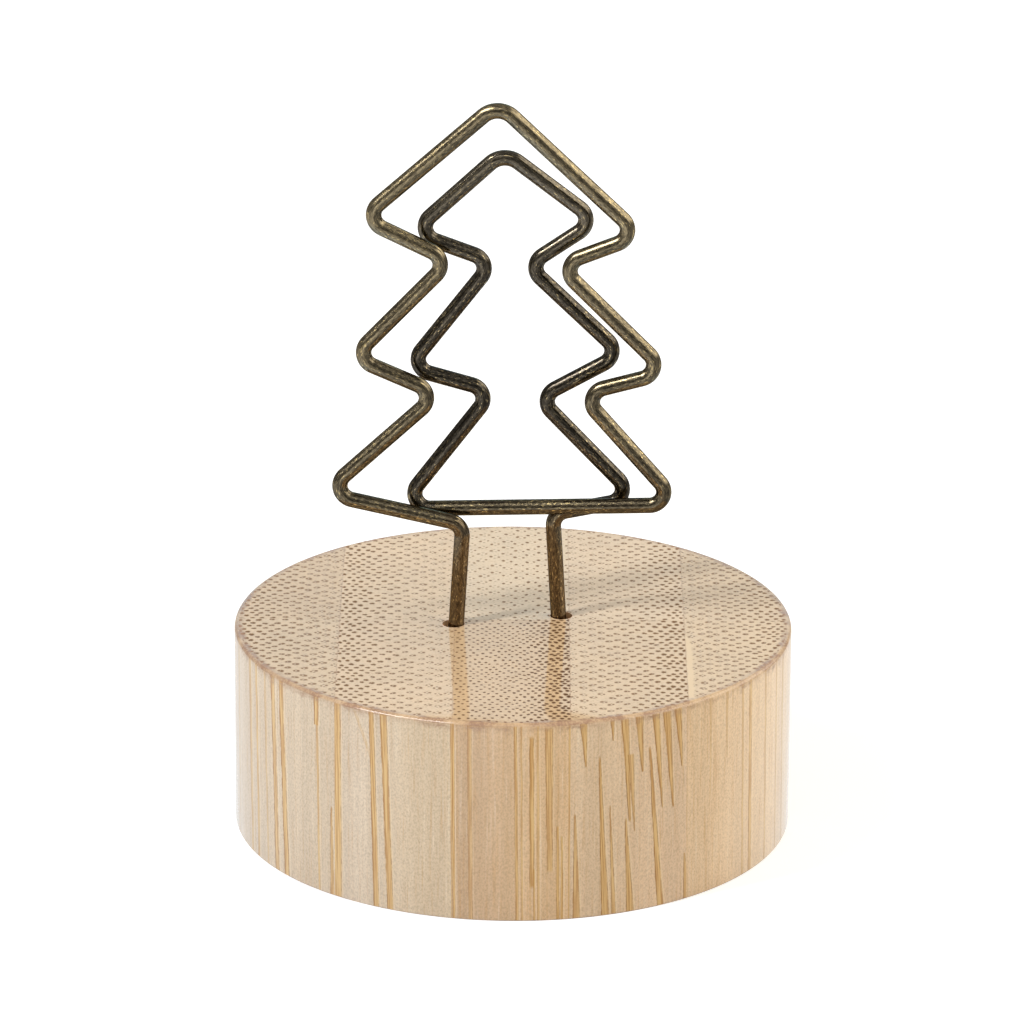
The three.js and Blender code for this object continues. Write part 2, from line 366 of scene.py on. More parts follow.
def shadeEdges(mesh):                            # smooth, but sharp at corners and where flat ends begin
    bm = bmesh.new()
    bm.from_mesh(mesh)
    for face in bm.faces:
        face.smooth = True
    for edge in bm.edges:
        flat = [abs(f.normal.z) > blockSet["flatNormal"] for f in edge.link_faces]
        level = all(flat) or not any(flat)
        edge.smooth = edge.calc_face_angle(0) < blockSet["sharpAngle"] and level
    bm.to_mesh(mesh)
    bm.free()


def newPiece(name, bm, material, body):
    mesh = bpy.data.meshes.new(name + "_mesh")
    bm.to_mesh(mesh)
    bm.free()
    shadeEdges(mesh)
    mesh.materials.append(material)
    piece = bpy.data.objects.new(name, mesh)
    scene.collection.objects.link(piece)
    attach(piece, body)
    return piece


def makeDrills():                                # the two drilled holes, as one cutter
    bm = bmesh.new()
    depth = blockSet["height"] - blockSet["drillFloor"] + blockSet["drillProud"]
    radius = blockSet["drillWidth"] / 2
    for place in drillPlaces:
        at = Matrix.Translation((place.x, place.y, blockSet["drillFloor"] + depth / 2))
        bmesh.ops.create_cone(
            bm, cap_ends=True, segments=blockSet["drillSides"], radius1=radius, radius2=radius,
            depth=depth, matrix=at,
        )
    mesh = bpy.data.meshes.new("drills")
    bm.to_mesh(mesh)
    bm.free()
    drills = bpy.data.objects.new("drills", mesh)
    scene.collection.objects.link(drills)
    return drills


def drill(piece, drills):
    cut = piece.modifiers.new("drill", "BOOLEAN")
    cut.object = drills
    cut.solver = "EXACT"
    ready = piece.evaluated_get(bpy.context.evaluated_depsgraph_get())
    drilled = bpy.data.meshes.new_from_object(ready)
    piece.modifiers.clear()
    piece.data = drilled
    shadeEdges(drilled)


# every strip: which edge of it lay at the outside of the stem, its bundles and its tones
# a streak: where it is, lean, upper and lower end, upper and lower width in mm, and strength
coarse = {"pitch": (0.34, 1.0), "row": 1.5, "lobe": (0.178, 0.14), "spread": (0.02, 0.28), "petals": 0.75}
fine = {"pitch": (0.3, 0.85), "row": 1.3, "lobe": (0.165, 0.142), "spread": (0.02, 0.24), "petals": 0.9}
stripSets = {
    "front_strip_1": {
        **fine, "crowded": "left", "seed": 3,
        "pitch": (0.32, 0.95), "row": 1.4, "lobe": (0.205, 0.158), "spread": (0.02, 0.27),
        "ground": (0.752, 0.565, 0.378), "side": (0.69, 0.56, 0.41),
        "streaks": [
            (-24.4, 0.0, 19, -1, 0.12, 0.12, 0.5), (-23.3, 0.01, 19, -1, 0.16, 0.16, 0.8),
            (-22.7, 0.01, 19, -1, 0.14, 0.14, 0.9), (-21.9, 0.015, 19, -1, 0.14, 0.14, 0.5),
            (-21.15, 0.02, 19, -1, 0.28, 0.3, 0.9), (-20.4, 0.027, 19, -1, 0.3, 0.36, 1.0),
            (-17.2, 0.012, 19, 15.6, 0.36, 0.3, 1.0), (-17.15, 0.012, 16.4, -1, 0.14, 0.14, 0.8),
            (-15.95, 0.01, 8.5, -1, 0.1, 0.3, 0.9),
        ],
    },
    "front_strip_2": {
        **coarse, "crowded": "left", "seed": 11,
        "ground": (0.795, 0.595, 0.40), "side": (0.695, 0.57, 0.43), "sideRight": (0.69, 0.545, 0.375),
        "streaks": [
            (-15.35, 0.004, 19, -1, 0.55, 0.6, 1.0), (-13.9, 0.36, 18.2, 13.2, 0.2, 0.22, 0.35),
            (-12.3, 0.024, 19, -1, 0.36, 0.4, 1.0), (-11.25, 0.034, 19, -1, 0.5, 0.42, 1.0),
            (-5.32, 0.008, 19, -1, 0.16, 0.16, 0.9),
        ],
    },
    "front_strip_3": {
        **fine, "crowded": "right", "seed": 23, "uneven": 0.1, "lobeTone": (0.085, 0.028, 0.003, 1),
        "pitch": (0.31, 0.37), "row": 1.25, "lobe": (0.206, 0.117), "spread": (0.02, 0.03),
        "ground": (0.743, 0.536, 0.341), "side": (0.62, 0.43, 0.262), "sideRight": (0.735, 0.515, 0.307),
        "streaks": [
            (-5.18, 0.008, 19, -1, 0.18, 0.18, 1.0), (-3.75, 0.01, 19, -1, 0.3, 0.3, 0.6),
            (0.25, 0.012, 19, -1, 0.2, 0.22, 0.9), (0.75, 0.01, 19, -1, 0.12, 0.12, 0.7),
            (1.65, 0.008, 17.5, 3, 0.32, 0.32, 1.0), (1.8, 0.01, 5, -1, 0.12, 0.14, 0.9),
            (2.2, 0.008, 19, -1, 0.16, 0.16, 0.7), (3.15, 0.012, 18.3, 4.5, 0.6, 0.4, 0.8),
            (3.9, 0.008, 9, -1, 0.16, 0.24, 1.0), (4.25, 0.008, 8, -1, 0.12, 0.2, 1.0),
            (4.95, 0.004, 19, -1, 0.12, 0.14, 0.8),
        ],
    },
    "front_strip_4": {
        **coarse, "crowded": "right", "seed": 31,
        "pitch": (0.32, 0.95), "row": 1.5, "lobe": (0.198, 0.148), "spread": (0.02, 0.27),
        "ground": (0.785, 0.588, 0.39), "side": (0.735, 0.55, 0.366), "sideRight": (0.775, 0.575, 0.392),
        "streaks": [
            (5.3, 0.02, 10, -1, 0.12, 0.6, 0.9), (6.15, 0.06, 18.4, 14.2, 0.5, 0.1, 1.0),
            (7.45, 0.04, 15.2, -1, 0.12, 0.6, 1.0), (8.2, 0.04, 10.5, -1, 0.06, 0.35, 0.9),
            (8.65, 0.05, 18.4, 16.4, 0.3, 0.05, 1.0), (9.75, 0.055, 18.4, 8.5, 0.55, 0.14, 1.0),
            (10.1, 0.055, 15, 7.5, 0.45, 0.05, 0.9), (9.45, 0.05, 9, -1, 0.1, 0.6, 1.0),
            (11.0, 0.07, 18.4, 13, 0.6, 0.1, 1.0), (11.75, 0.07, 15.4, -1, 0.14, 0.5, 1.0),
            (12.45, 0.075, 18.4, 9.2, 0.55, 0.06, 1.0), (13.4, 0.075, 18.4, 9, 0.6, 0.1, 1.0),
            (14.4, 0.075, 18.4, 12.7, 0.55, 0.06, 1.0), (14.6, 0.04, 4.5, -1, 0.08, 0.5, 0.9),
            (15.3, 0.004, 19, -1, 0.12, 0.12, 0.25),
        ],
    },
    "front_strip_5": {
        **fine, "crowded": "right", "seed": 43, "clearLeft": 0.6, "pitch": (0.3, 0.88),
        "ground": (0.785, 0.588, 0.385), "side": (0.8, 0.59, 0.38), "sideRight": (0.91, 0.7, 0.475),
        "streaks": [
            (17.35, 0.008, 19, 9, 0.18, 0.05, 0.35), (18.8, 0.008, 19, 12, 0.2, 0.05, 0.45),
            (20.25, 0.01, 19, -1, 0.14, 0.14, 0.6), (20.95, 0.008, 19, -1, 0.2, 0.22, 0.8),
            (22.35, 0.008, 19, -1, 0.12, 0.12, 0.6), (23.4, 0.006, 19, -1, 0.1, 0.1, 0.5),
            (24.0, 0.006, 19, -1, 0.1, 0.1, 0.5),
        ],
    },
    "back_strip_1": {
        **fine, "crowded": "left", "seed": 57, "ground": (0.735, 0.542, 0.356), "side": (0.72, 0.57, 0.41),
    },
    "back_strip_2": {
        **coarse, "crowded": "left", "seed": 61, "ground": (0.804, 0.604, 0.404), "side": (0.69, 0.53, 0.36),
    },
    "back_strip_3": {
        **coarse, "crowded": "right", "seed": 73, "petals": 0.85,
        "pitch": (0.95, 1.2), "row": 1.75, "lobe": (0.158, 0.148), "spread": (0.32, 0.37),
        "ground": (0.815, 0.635, 0.44), "side": (0.65, 0.49, 0.32),
    },
    "back_strip_4": {
        **coarse, "crowded": "right", "seed": 83, "ground": (0.812, 0.618, 0.423), "side": (0.63, 0.47, 0.30),
    },
    "back_strip_5": {
        **fine, "crowded": "right", "seed": 97, "ground": (0.772, 0.58, 0.385), "side": (0.72, 0.55, 0.36),
    },
}
bambooSet = {
    "lobeTone": (0.15, 0.066, 0.018, 1), "petalTone": (0.33, 0.185, 0.085, 1),
    "middleTone": (0.86, 0.67, 0.43, 1), "clearTone": (0.79, 0.57, 0.33, 1),
    "seamTone": (0.42, 0.245, 0.15, 1), "rimTone": (0.39, 0.232, 0.145, 1), "holePaintedLight": (0.9, 0.58, 0.35, 1),
    "paleFibre": (0.86, 0.74, 0.58, 1), "bandShade": (0.9, 0.89, 0.88, 1),
    "feltLight": (1.11, 1.11, 1.11, 1), "feltShade": (0.88, 0.862, 0.845, 1),
    "streakTone": (0.52, 0.262, 0.065, 1), "streakPale": (0.75, 0.5, 0.2, 1),
    "streakEdge": (0.31, 0.125, 0.03, 1), "streakGlint": (0.88, 0.72, 0.48, 1),
    "shade": (0.909, 0.868, 0.794), "light": (0.973, 0.93, 0.85),        # darkest and palest of the ground
    "uneven": 0.15, "lobeDepth": (0.95, 0.72), "seedStep": 1.37, "sideSeed": 0.7, "streakSeed": 2.3,
    "poreShare": 0.25, "middleShare": 0.3, "seamShare": 0.35, "boardSeamShare": 0.3, "fibreShare": 0.4,
    "sidePoreShare": 0.3, "streakShare": 0.85, "tornShare": 0.65, "glintShare": 0.45,
    "rimReach": 23.65, "rimFray": 0.9, "rimDrop": 1.6, "roughness": (0.45, 0.6), "lacquerRoughness": 0.06,
    "specular": 0.1, "bumpStrength": 0.25, "bumpDistance": 0.05 * mm,
    "streaksBehind": 6, "streakReach": 0.96, "leanBehind": 0.05, "widthBehind": (0.12, 0.5),
}


def backStreaks(left, right, seed):              # streaks on the back of the block, by chance
    chance = random.Random(seed)
    streaks = []
    limit = bambooSet["streakReach"] * blockSet["radius"]
    angles = [math.asin(min(max(edge, -limit), limit) / blockSet["radius"]) for edge in (left, right)]
    for _ in range(bambooSet["streaksBehind"]):
        angle = chance.uniform(*angles)          # round the block, so that none is stretched at its ends
        at = blockSet["radius"] * math.sin(angle) / mm
        lean = chance.uniform(-bambooSet["leanBehind"], bambooSet["leanBehind"]) * math.cos(angle)
        width = chance.uniform(*bambooSet["widthBehind"]) * math.cos(angle)
        if chance.random() < 0.5:
            streaks.append((at, lean * 0.3, 19, -1, width, width, chance.uniform(0.6, 1.0)))
        else:
            streaks.append((at, lean, 18.5, chance.uniform(3, 14), width, 0.06, chance.uniform(0.7, 1.0)))
    return streaks


def shaded(tone, shade):
    return (*[part * share for part, share in zip(tone, shade)], 1)


def bambooMaterial(name, index):
    pick = stripSets[name]
    left, right = stripEdges[index], stripEdges[index + 1]
    material, s, shader = newMaterial(name + "_bamboo")
    place = inMillimetres(s)
    x, y, z = s.separate(place)
    normalZ = s.math("ABSOLUTE", s.separate(s.add("TexCoord").outputs["Normal"])[2])
    onTop = s.ramp(normalZ, 0.3, 0.7)
    fromLeft = s.math("SUBTRACT", x, left / mm)
    fromRight = s.math("SUBTRACT", right / mm, x)
    across = fromLeft if pick["crowded"] == "left" else fromRight
    along = s.math("ADD", y, pick["seed"] * bambooSet["seedStep"])
    grain = s.use(endGrain, {
        "Place": s.combine(across, along), "Thickness": stripThickness / mm,
        "Near Pitch": pick["pitch"][0], "Far Pitch": pick["pitch"][1], "Row": pick["row"],
        "Near Lobe": pick["lobe"][0], "Far Lobe": pick["lobe"][1],
        "Near Spread": pick["spread"][0], "Far Spread": pick["spread"][1],
        "Uneven": pick.get("uneven", bambooSet["uneven"]), "Seed": pick["seed"],
    })
    # the end of the strip
    mottle = s.noise(place, 0.35, 3.0).outputs["Fac"]
    pores = s.noise(place, 5.0, 2.0).outputs["Fac"]
    darkGround = shaded(pick["ground"], bambooSet["shade"])
    paleGround = shaded(pick["ground"], bambooSet["light"])
    top = s.mix(s.ramp(mottle, 0.3, 0.7), darkGround, paleGround)
    poreMask = s.times(s.ramp(pores, 0.45, 0.75), bambooSet["poreShare"])
    top = s.mix(poreMask, top, bambooSet["petalTone"])
    top = s.mix(s.times(grain["Middle"], bambooSet["middleShare"]), top, bambooSet["middleTone"])
    clear = 1.0
    if "clearLeft" in pick:                      # a band without bundles beside the left seam
        band = s.times(s.ramp(y, -1.0, -8.0), pick["clearLeft"])
        band = s.nudge(band, mottle, 0.7)
        clear = s.ramp(s.math("SUBTRACT", fromLeft, band), -0.15, 0.2)
        top = s.mix(s.math("SUBTRACT", 1.0, clear), top, bambooSet["clearTone"])
    clear = s.times(clear, s.ramp(normalZ, 0.97, 0.998))
    petals = s.times(s.times(grain["Petals"], grain["Openness"]), pick["petals"])
    top = s.mix(s.times(petals, clear), top, bambooSet["petalTone"])
    depth = s.blend(*bambooSet["lobeDepth"], grain["Openness"])
    lobes = s.times(s.times(grain["Lobes"], depth), clear)
    top = s.mix(lobes, top, pick.get("lobeTone", bambooSet["lobeTone"]))
    # seams to the neighbours
    nearest = s.math("MINIMUM", fromLeft, fromRight)
    fray = s.noise(place, 1.4, 2.0).outputs["Fac"]
    seamWidth = s.math("MULTIPLY_ADD", fray, 0.3, -0.11)
    seam = s.ramp(s.math("SUBTRACT", nearest, seamWidth), 0.05, -0.03)
    boardDistance = s.math("ABSOLUTE", s.math("SUBTRACT", y, boardSeam / mm))
    boardLine = s.times(s.ramp(boardDistance, 0.06, 0.01), bambooSet["boardSeamShare"])
    seam = s.math("MAXIMUM", seam, boardLine)
    top = s.mix(s.times(seam, bambooSet["seamShare"]), top, bambooSet["seamTone"])
    # the side of the strip
    long = s.use(longGrain, {"Place": place, "Seed": pick["seed"] * bambooSet["sideSeed"]})
    sideRight = pick.get("sideRight", pick["side"])
    side = s.mix(s.ramp(fromLeft, 2.0, 8.0), (*pick["side"], 1), (*sideRight, 1))
    side = s.tint(s.ramp(long["Band"], 0.7, 0.3), side, bambooSet["bandShade"])
    darkFibre = s.times(s.ramp(long["Fibre"], 0.5, 0.8), bambooSet["fibreShare"])
    side = s.mix(darkFibre, side, bambooSet["streakTone"])
    paleFibre = s.times(s.ramp(long["Fibre"], 0.45, 0.2), bambooSet["fibreShare"])
    side = s.mix(paleFibre, side, bambooSet["paleFibre"])
    sidePores = s.times(s.ramp(long["Pores"], 0.55, 0.8), bambooSet["sidePoreShare"])
    side = s.mix(sidePores, side, bambooSet["petalTone"])
    side = s.tint(s.ramp(long["Felt"], 0.62, 0.3), side, bambooSet["feltLight"])
    side = s.tint(s.ramp(long["Felt"], 0.45, 0.75), side, bambooSet["feltShade"])
    streaks = pick.get("streaks") or backStreaks(left, right, pick["seed"])
    for number, (at, lean, high, low, highWidth, lowWidth, strength) in enumerate(streaks):
        streak = s.use(streakGroup, {
            "Place": place, "At": at, "Lean": lean, "Top": high, "Bottom": low, "Top Width": highWidth,
            "Bottom Width": lowWidth, "Seed": pick["seed"] + number * bambooSet["streakSeed"],
        })
        gold = s.mix(streak["Pale"], bambooSet["streakTone"], bambooSet["streakPale"])
        side = s.mix(s.times(streak["Streak"], bambooSet["streakShare"] * strength), side, gold)
        broad = min(max((max(highWidth, lowWidth) - 0.1) / 0.2, 0.2), 1.0)   # thin streaks are less torn
        torn = bambooSet["tornShare"] * strength * broad
        side = s.mix(s.times(streak["Edge"], torn), side, bambooSet["streakEdge"])
        glint = bambooSet["glintShare"] * strength
        side = s.mix(s.times(streak["Glint"], glint), side, bambooSet["streakGlint"])
    # the sanded rim, and painted light on the walls of the drilled holes
    reach = s.vector("LENGTH", s.combine(x, y))
    rimEdge = s.math("MULTIPLY_ADD", fray, bambooSet["rimFray"], bambooSet["rimReach"])
    rim = s.ramp(s.math("SUBTRACT", reach, rimEdge), -0.1, 0.45)
    rim = s.times(rim, s.ramp(normalZ, 0.1, 0.5))
    below = s.ramp(s.math("MULTIPLY_ADD", fray, bambooSet["rimDrop"], z), 18.3, 19.3)
    below = s.times(below, s.ramp(normalZ, 0.5, 0.1))
    rim = s.math("MAXIMUM", rim, below)
    colour = s.mix(onTop, side, top)
    stain = s.ramp(s.noise(place, 0.45, 2.0).outputs["Fac"], 0.35, 0.65, 0.3, 1.0)
    stain = s.times(stain, s.ramp(pores, 0.35, 0.6, 0.65, 1.1))
    colour = s.mix(s.times(rim, stain), colour, bambooSet["rimTone"])
    drillRadius = blockSet["drillWidth"] / 2 / mm
    # painted light: the hole walls get a paler tone than the bamboo, standing in for light that reaches into
    # them
    for drillPlace in drillPlaces:
        offset = s.vector("SUBTRACT", s.combine(x, y), (drillPlace.x / mm, drillPlace.y / mm, 0))
        hole = s.ramp(s.vector("LENGTH", offset), drillRadius + 0.12, drillRadius - 0.02)
        colour = s.mix(s.times(hole, s.ramp(z, 1.0, 8.0)), colour, bambooSet["holePaintedLight"])
    s.feed(shader.inputs["Base Color"], colour)
    # clear lacquer that the open bundles soak up
    haze = s.noise(place, 0.6, 3.0).outputs["Fac"]
    s.feed(shader.inputs["Roughness"], s.ramp(haze, 0.25, 0.75, *bambooSet["roughness"]))
    soaked = s.times(lobes, onTop)
    s.feed(shader.inputs["Coat Weight"], s.math("MULTIPLY_ADD", soaked, -1.0, 1.0))
    shader.inputs["Coat Roughness"].default_value = bambooSet["lacquerRoughness"]
    shader.inputs["Specular IOR Level"].default_value = bambooSet["specular"]
    relief = s.math("MULTIPLY_ADD", lobes, -0.6, s.times(pores, 0.35))
    relief = s.blend(s.times(long["Fibre"], 0.8), relief, onTop)
    relief = s.math("MULTIPLY_ADD", s.times(rim, pores), 2.0, relief)
    bump = {"Height": relief, "Strength": bambooSet["bumpStrength"], "Distance": bambooSet["bumpDistance"]}
    s.feed(shader.inputs["Normal"], s.add("Bump", None, bump).outputs[0])
    return material


def makeBlock():
    drills = makeDrills()
    blank = turnBlank()
    for name in stripNames:
        index = int(name[-1]) - 1
        bm = blank.copy()
        if index > 0:
            sawOff(bm, (stripEdges[index], 0, 0), (-1, 0, 0))
        if index < 4:
            sawOff(bm, (stripEdges[index + 1], 0, 0), (1, 0, 0))
        sawOff(bm, (0, boardSeam, 0), (0, 1 if name.startswith("front") else -1, 0))
        piece = newPiece(name + "_sawn", bm, bambooMaterial(name, index), "block")
        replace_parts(piece, name)
        left = stripEdges[index] - blockSet["drillMargin"]
        right = stripEdges[index + 1] + blockSet["drillMargin"]
        if any(left < place.x < right for place in drillPlaces):
            drill(piece, drills)
    blank.free()
    bpy.data.objects.remove(drills)


makeBlock()
print("block: ten strips sawn and drilled")


# the wire, bent on a line of runs and bends
wireSet = {
    "width": 1.4 * mm, "sides": 28, "bendRadius": 1.35, "topRadius": 1.9, "bendStep": math.radians(6),
    "loopGap": 0.5, "loopFlare": 0.25, "twistOffset": 0.5, "legDepth": 8.5, "legLean": 0.5 / 8.5,
    "edgeTone": (0.3, 0.28, 0.26, 1), "underShadeTint": (0.86, 1.0, 1.25, 1), "underShadeNormal": (-0.05, -0.45),
    "lacquer": 0.35, "lacquerRoughness": 0.12, "bumpStrength": 0.3, "bumpDistance": 0.01 * mm,
    "warm": {
        "dark": (0.065, 0.05, 0.029, 1), "brass": (0.33, 0.265, 0.155, 1), "gold": (0.8, 0.61, 0.28, 1),
    },
    "grey": {
        "dark": (0.03, 0.023, 0.015, 1), "brass": (0.205, 0.172, 0.12, 1), "gold": (0.58, 0.45, 0.23, 1),
    },
    "brown": {
        "dark": (0.045, 0.031, 0.016, 1), "brass": (0.235, 0.175, 0.098, 1), "gold": (0.62, 0.48, 0.25, 1),
    },
    "leftLegTop": (-4.53, 9.52), "rightLegTop": (3.5, 9.78),             # x and height above the block, mm
    "frontTree": [
        (-16.93, 12.31), (-6.71, 21.8), (-14.3, 25.14), (-5.69, 34.21), (-13.49, 38.04), (-1.54, 48.67),
        (10.97, 36.67), (3.8, 33.83), (13.55, 23.97), (5.85, 21.87), (14.83, 11.49),
    ],
    "backTree": [
        (-10.29, 10.21), (-1.88, 21.39), (-9.46, 23.58), (-1.9, 33.45), (-9.09, 36.15), (-1.04, 43.63),
        (7.16, 37.26), (1.08, 33.1), (9.54, 24.86), (2.12, 20.73), (11.01, 11.25),
    ],
}


def placeBend(bend, tree, side):                 # a bend of the wire, in metres
    x, height = bend
    share = (x - tree[0][0]) / (tree[-1][0] - tree[0][0])
    depth = (wireSet["width"] / mm + wireSet["loopGap"]) / 2 + wireSet["loopFlare"] * share
    return Vector((x * mm, boardSeam + side * depth * mm, blockSet["height"] + height * mm))


def placeFoot(top, side):                        # the lower end of a leg, in its hole
    foot = top.copy()
    foot.z = blockSet["height"] - wireSet["legDepth"] * mm
    foot.x += side * wireSet["legLean"] * (top.z - foot.z)
    return foot


class WireBender:                                # feeds, bends and cuts the wire
    def __init__(self, start, towards):
        self.point = start.copy()
        self.run = (towards - start).normalized()
        self.over = self.run.cross(Vector((0, 1, 0))).normalized()
        self.length = 0.0
        self.begin()

    def begin(self):
        self.bm = bmesh.new()
        self.marks = []
        self.mark()
        across = self.over.cross(self.run)
        turn = Matrix((self.over, across, self.run)).transposed().to_4x4()
        bmesh.ops.create_circle(
            self.bm, cap_ends=True, segments=wireSet["sides"], radius=wireSet["width"] / 2,
            matrix=Matrix.Translation(self.point) @ turn,
        )
        self.bm.faces.ensure_lookup_table()
        self.tip = self.bm.faces[0]

    def mark(self):
        self.marks.append((self.point.copy(), self.over.copy(), self.over.cross(self.run), self.length))

    def feed(self, distance):
        moved = bmesh.ops.extrude_face_region(self.bm, geom=[self.tip])["geom"]
        bmesh.ops.translate(self.bm, verts=vertsOf(moved), vec=self.run * distance)
        self.tip = next(f for f in moved if isinstance(f, bmesh.types.BMFace))
        self.point += self.run * distance
        self.length += distance
        self.mark()

    def bend(self, leaving, radius):
        angle = self.run.angle(leaving)
        axis = self.run.cross(leaving).normalized()
        centre = self.point + axis.cross(self.run) * radius
        steps = math.ceil(angle / wireSet["bendStep"])
        geometry = [self.tip] + self.tip.edges[:] + self.tip.verts[:]
        last = bmesh.ops.spin(
            self.bm, geom=geometry, cent=centre, axis=axis, dvec=(0, 0, 0), angle=angle, steps=steps,
            use_merge=False, use_normal_flip=False, use_duplicate=False,
        )["geom_last"]
        self.tip = next(f for f in last if isinstance(f, bmesh.types.BMFace))
        step = Quaternion(axis, angle / steps)
        for _ in range(steps):
            self.point = centre + step @ (self.point - centre)
            self.run = step @ self.run
            self.over = step @ self.over
            self.length += radius * angle / steps
            self.mark()

    def cut(self, name, body, material):
        bmesh.ops.recalc_face_normals(self.bm, faces=self.bm.faces[:])
        straight = []                            # where each point lay on the wire before it was bent
        for number, vert in enumerate(self.bm.verts):
            point, over, across, length = self.marks[number // wireSet["sides"]]
            offset = vert.co - point
            straight += [offset.dot(over), offset.dot(across), length]
        piece = newPiece(name, self.bm, material, body)
        lay = piece.data.attributes.new("straightWire", "FLOAT_VECTOR", "POINT")
        lay.data.foreach_set("vector", straight)
        return piece


# dark antique finish, brushed along the wire and rubbed through to brass
patinaSet = {
    "brushMarks": (11.0, 11.0, 2.8), "fleckMarks": (10.0, 10.0, 2.6), "patchMarks": (0.9, 0.9, 0.25),
    "patchLevel": 0.7, "rubShare": 0.5, "brushContrast": 1.5, "brushLevel": 0.25, "wornEdge": (0.12, 0.88),
    "goldPatch": 0.2, "goldBrush": 0.3, "goldEdge": (0.63, 0.71), "roughness": (0.15, 0.26),
}


def makePatina():
    inputs = {"Place": None, "Rub": 0.5}
    group, s, given, wanted = newGroup("antiquePatina", inputs, ["Brass", "Gold", "Roughness", "Height"])
    marks = {}
    for name, detail in (("brush", 3.0), ("fleck", 2.0), ("patch", 2.0)):
        place = s.vector("MULTIPLY", given["Place"], patinaSet[name + "Marks"])
        marks[name] = s.noise(place, 1.0, detail).outputs["Fac"]
    level = s.nudge(given["Rub"], marks["patch"], patinaSet["patchLevel"])
    brushed = s.nudge(patinaSet["brushLevel"], marks["brush"], patinaSet["brushContrast"])
    worn = s.math("MULTIPLY_ADD", level, patinaSet["rubShare"], brushed)
    rubbed = s.nudge(marks["fleck"], marks["patch"], patinaSet["goldPatch"])
    rubbed = s.nudge(rubbed, marks["brush"], patinaSet["goldBrush"])
    s.feed(wanted["Brass"], s.ramp(worn, *patinaSet["wornEdge"]))
    s.feed(wanted["Gold"], s.ramp(rubbed, *patinaSet["goldEdge"]))
    s.feed(wanted["Roughness"], s.ramp(marks["brush"], 0.3, 0.7, *patinaSet["roughness"]))
    s.feed(wanted["Height"], marks["brush"])
    return group


patinaGroup = makePatina()


def wireMaterial(name, tone, rub, heights=(28.0, 58.0)):   # rub at the lower and the upper height, mm
    material, s, shader = newMaterial(name)
    straight = s.add("Attribute", {"attribute_name": "straightWire"}).outputs["Vector"]
    place = s.vector("SCALE", straight, 1 / mm)
    height = s.separate(inMillimetres(s))[2]
    patina = s.use(patinaGroup, {"Place": place, "Rub": s.ramp(height, *heights, *rub)})
    tones = wireSet[tone]
    colour = s.mix(patina["Brass"], tones["dark"], tones["brass"])
    colour = s.mix(patina["Gold"], colour, tones["gold"])
    normalZ = s.separate(s.add("TexCoord").outputs["Normal"])[2]
    # painted shade: where the wire faces downward its colour is turned greyer and bluer, standing in for the
    # dull reflection on its undersides
    colour = s.tint(s.ramp(normalZ, *wireSet["underShadeNormal"]), colour, wireSet["underShadeTint"])
    s.feed(shader.inputs["Base Color"], colour)
    s.feed(shader.inputs["Roughness"], patina["Roughness"])
    shader.inputs["Metallic"].default_value = 1.0
    shader.inputs["Specular Tint"].default_value = wireSet["edgeTone"]
    shader.inputs["Coat Weight"].default_value = wireSet["lacquer"]
    shader.inputs["Coat Roughness"].default_value = wireSet["lacquerRoughness"]
    relief = patina["Height"]
    bump = {"Height": relief, "Strength": wireSet["bumpStrength"], "Distance": wireSet["bumpDistance"]}
    s.feed(shader.inputs["Normal"], s.add("Bump", None, bump).outputs[0])
    return material


def bendWire():
    front = [placeBend(b, wireSet["frontTree"], -1) for b in wireSet["frontTree"]]
    back = [placeBend(b, wireSet["backTree"], 1) for b in wireSet["backTree"]]
    leftTop = placeBend(wireSet["leftLegTop"], wireSet["frontTree"], -1)
    rightTop = placeBend(wireSet["rightLegTop"], wireSet["backTree"], 1)
    corners = [placeFoot(leftTop, -1), leftTop, *front, *back, rightTop, placeFoot(rightTop, 1)]
    radii = [wireSet["bendRadius"] * mm] * len(corners)
    for tree, first in ((front, 2), (back, 2 + len(front))):
        radii[first + len(tree) // 2] = wireSet["topRadius"] * mm
    setback = [0.0] * len(corners)               # what a bend takes from the runs beside it
    for i in range(1, len(corners) - 1):
        turn = (corners[i] - corners[i - 1]).angle(corners[i + 1] - corners[i])
        setback[i] = radii[i] * math.tan(turn / 2)
    offset = wireSet["twistOffset"] * mm
    barStart = 1 + len(front)                    # the lower right bend of the front tree
    cuts = {                                     # by run: the pieces that end on it, and how far from a bend
        1: [("left_leg", "block", offset)],
        barStart: [("front_loop", "front_loop", offset), ("crossbar", "block", -offset)],
        len(corners) - 3: [("back_loop", "back_loop", -offset)],
    }
    looks = {
        "left_leg": wireMaterial("left_leg_wire", "brown", (0.5, 0.5)),
        "front_loop": wireMaterial("front_loop_wire", "warm", (0.3, 0.58)),
        "crossbar": wireMaterial("crossbar_wire", "warm", (0.2, 0.2)),
        "back_loop": wireMaterial("back_loop_wire", "grey", (0.14, 0.6), (46.0, 58.0)),
        "right_leg": wireMaterial("right_leg_wire", "brown", (0.45, 0.45)),
    }
    bender = WireBender(corners[0], corners[1])
    for i in range(len(corners) - 1):
        length = (corners[i + 1] - corners[i]).length - setback[i] - setback[i + 1]
        done = 0.0
        for name, body, distance in cuts.get(i, []):
            reach = distance if distance > 0 else length + distance
            bender.feed(reach - done)
            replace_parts(bender.cut(name + "_bent", body, looks[name]), name)
            bender.begin()
            done = reach
        bender.feed(length - done)
        if i + 2 < len(corners):
            bender.bend((corners[i + 2] - corners[i + 1]).normalized(), radii[i + 1])
    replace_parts(bender.cut("right_leg_bent", "block", looks["right_leg"]), "right_leg")


bendWire()
print("wire: bent and cut in five")


# glue round the feet of the legs
glueSet = {
    "deep": (0.42, 0.22, 0.05, 1), "pale": (0.62, 0.38, 0.12, 1), "cloudScale": 1.3,
    "roughness": (0.18, 0.34),
}


